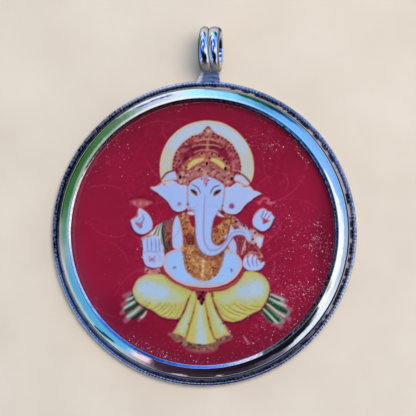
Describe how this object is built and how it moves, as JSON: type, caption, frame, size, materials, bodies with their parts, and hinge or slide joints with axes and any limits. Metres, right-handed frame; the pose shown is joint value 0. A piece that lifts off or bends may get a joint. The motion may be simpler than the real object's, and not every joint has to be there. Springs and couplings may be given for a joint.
{
  "type": "round picture pendant",
  "caption": "Round pendant: a printed disc under a clear dome in a rimmed metal setting, with a standing double-wire bail soldered to its edge.",
  "frame": {"origin": "middle of the flat back face, which lies on the surface when the pendant lies face up", "axes": "+Z out of the picture, +Y towards the bail, +X to the right of the picture, across which a chain runs through the bail"},
  "size_m": [0.04, 0.0468, 0.0061],
  "materials": {
    "silver_plate": "polished",
    "printed_card": "printed",
    "clear_resin": "clear gloss"
  },
  "bodies": {
    "root": {"setting": "silver_plate", "picture_disc": "printed_card", "clear_dome": "clear_resin"}
  },
  "joints": []
}
